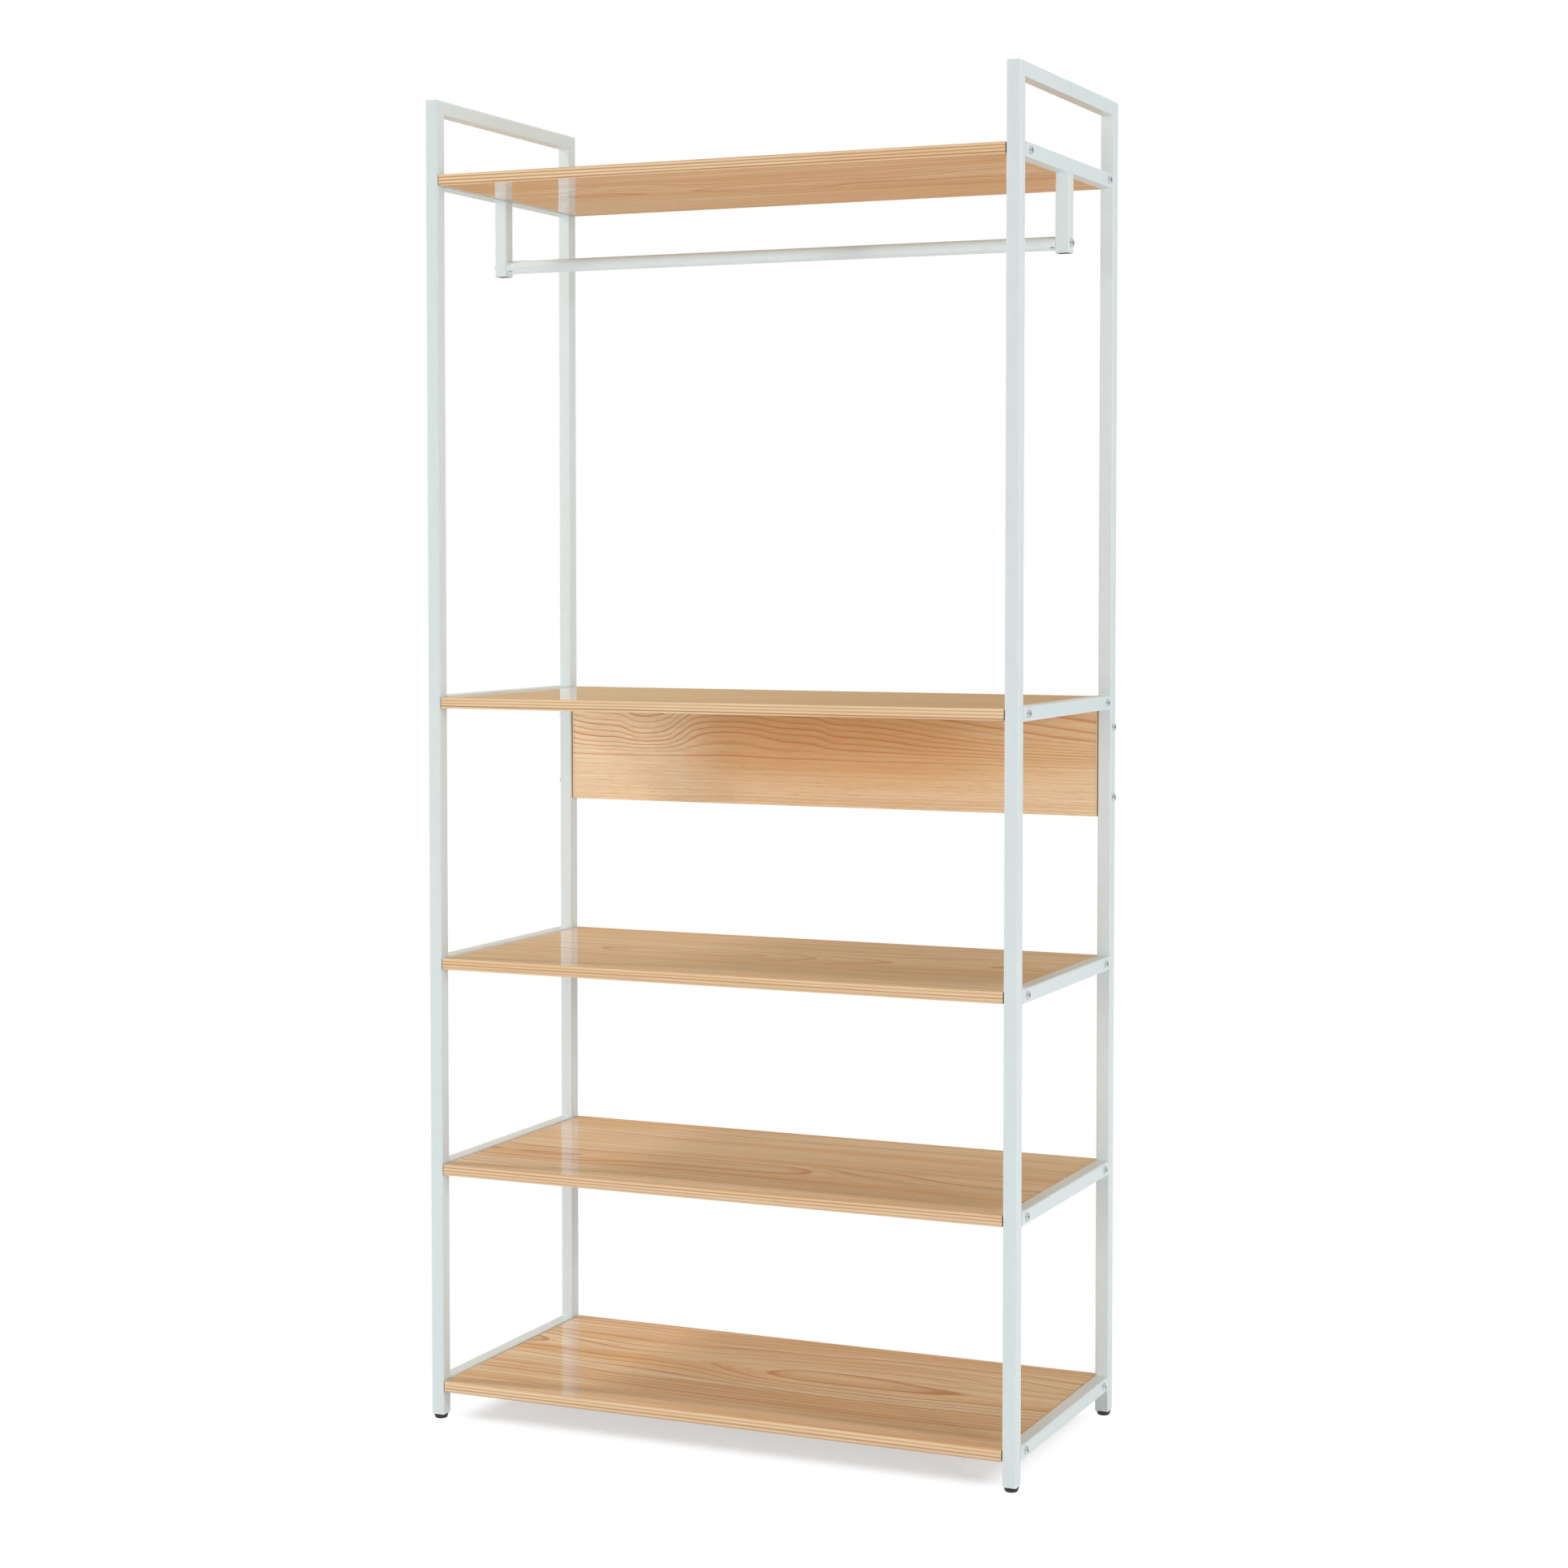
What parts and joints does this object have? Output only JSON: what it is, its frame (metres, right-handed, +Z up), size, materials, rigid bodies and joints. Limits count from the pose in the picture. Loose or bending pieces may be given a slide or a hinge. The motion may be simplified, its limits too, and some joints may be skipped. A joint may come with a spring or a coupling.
{
  "type": "open frame wardrobe",
  "caption": "Free-standing open wardrobe: two welded side frames of white square tube carry bolted wood shelves, a low back panel and a round hanging rail on screw-in levelling feet.",
  "frame": {"origin": "on the floor, below the middle of the frame", "axes": "+Z up, +X to the right as seen from the front, +Y to the rear, where the back panel is"},
  "size_m": [0.8564, 0.401, 1.8],
  "materials": {
    "white_frame": "smooth satin powder coat",
    "wood_board": "ash-look laminate, semi-gloss",
    "wood_strip": "wood-look edge strip, semi-gloss",
    "zinc_bolt": "bright zinc plate",
    "zinc_insert": "dull zinc",
    "black_plastic": "moulded, fine texture",
    "white_plug": "moulded, smooth"
  },
  "bodies": {
    "frame": {"left_front_upright": "white_frame", "left_rear_upright": "white_frame", "left_top_bar": "white_frame", "left_bottom_crossbar": "white_frame", "left_lower_crossbar": "white_frame", "left_middle_crossbar": "white_frame", "left_upper_crossbar": "white_frame", "left_top_crossbar": "white_frame", "left_drop_post": "white_frame", "right_front_upright": "white_frame", "right_rear_upright": "white_frame", "right_top_bar": "white_frame", "right_bottom_crossbar": "white_frame", "right_lower_crossbar": "white_frame", "right_middle_crossbar": "white_frame", "right_upper_crossbar": "white_frame", "right_top_crossbar": "white_frame", "right_drop_post": "white_frame", "bottom_shelf": "wood_board", "bottom_shelf_strips": "wood_strip", "bottom_shelf_bolts": "zinc_bolt", "bottom_shelf_inserts": "zinc_insert", "lower_shelf": "wood_board", "lower_shelf_strips": "wood_strip", "lower_shelf_bolts": "zinc_bolt", "lower_shelf_inserts": "zinc_insert", "middle_shelf": "wood_board", "middle_shelf_strips": "wood_strip", "middle_shelf_bolts": "zinc_bolt", "middle_shelf_inserts": "zinc_insert", "upper_shelf": "wood_board", "upper_shelf_strips": "wood_strip", "upper_shelf_bolts": "zinc_bolt", "upper_shelf_inserts": "zinc_insert", "top_shelf": "wood_board", "top_shelf_strips": "wood_strip", "top_shelf_bolts": "zinc_bolt", "top_shelf_inserts": "zinc_insert", "back_panel": "wood_board", "back_panel_strips": "wood_strip", "back_panel_bolts": "zinc_bolt", "back_panel_inserts": "zinc_insert", "hanging_rail": "white_frame", "rail_end_plugs": "white_plug", "rail_bolts": "zinc_bolt", "left_post_plug": "black_plastic", "left_front_foot_insert": "black_plastic", "left_rear_foot_insert": "black_plastic", "right_post_plug": "black_plastic", "right_front_foot_insert": "black_plastic", "right_rear_foot_insert": "black_plastic"},
    "left_front_stud": {"left_front_foot_stud": "zinc_bolt"},
    "left_front_pad": {"left_front_foot_pad": "black_plastic"},
    "left_rear_stud": {"left_rear_foot_stud": "zinc_bolt"},
    "left_rear_pad": {"left_rear_foot_pad": "black_plastic"},
    "right_front_stud": {"right_front_foot_stud": "zinc_bolt"},
    "right_front_pad": {"right_front_foot_pad": "black_plastic"},
    "right_rear_stud": {"right_rear_foot_stud": "zinc_bolt"},
    "right_rear_pad": {"right_rear_foot_pad": "black_plastic"}
  },
  "joints": [
    {"name": "left_front_foot_lift", "type": "slide", "parent": "frame", "child": "left_front_stud", "axis": [0, 0, -1], "range_m": [0, 0.008]},
    {"name": "left_front_foot_turn", "type": "hinge", "parent": "left_front_stud", "child": "left_front_pad", "pos_m": [-0.4155, -0.1905, 0], "axis": [0, 0, -1], "range_deg": [0, 2880]},
    {"name": "left_rear_foot_lift", "type": "slide", "parent": "frame", "child": "left_rear_stud", "axis": [0, 0, -1], "range_m": [0, 0.008]},
    {"name": "left_rear_foot_turn", "type": "hinge", "parent": "left_rear_stud", "child": "left_rear_pad", "pos_m": [-0.4155, 0.1905, 0], "axis": [0, 0, -1], "range_deg": [0, 2880]},
    {"name": "right_front_foot_lift", "type": "slide", "parent": "frame", "child": "right_front_stud", "axis": [0, 0, -1], "range_m": [0, 0.008]},
    {"name": "right_front_foot_turn", "type": "hinge", "parent": "right_front_stud", "child": "right_front_pad", "pos_m": [0.4155, -0.1905, 0], "axis": [0, 0, -1], "range_deg": [0, 2880]},
    {"name": "right_rear_foot_lift", "type": "slide", "parent": "frame", "child": "right_rear_stud", "axis": [0, 0, -1], "range_m": [0, 0.008]},
    {"name": "right_rear_foot_turn", "type": "hinge", "parent": "right_rear_stud", "child": "right_rear_pad", "pos_m": [0.4155, 0.1905, 0], "axis": [0, 0, -1], "range_deg": [0, 2880]}
  ],
  "couplings": [
    {"joint": "left_front_foot_turn", "follows": "left_front_foot_lift", "rad_per_m": 5026.5},
    {"joint": "left_rear_foot_turn", "follows": "left_rear_foot_lift", "rad_per_m": 5026.5},
    {"joint": "right_front_foot_turn", "follows": "right_front_foot_lift", "rad_per_m": 5026.5},
    {"joint": "right_rear_foot_turn", "follows": "right_rear_foot_lift", "rad_per_m": 5026.5}
  ]
}
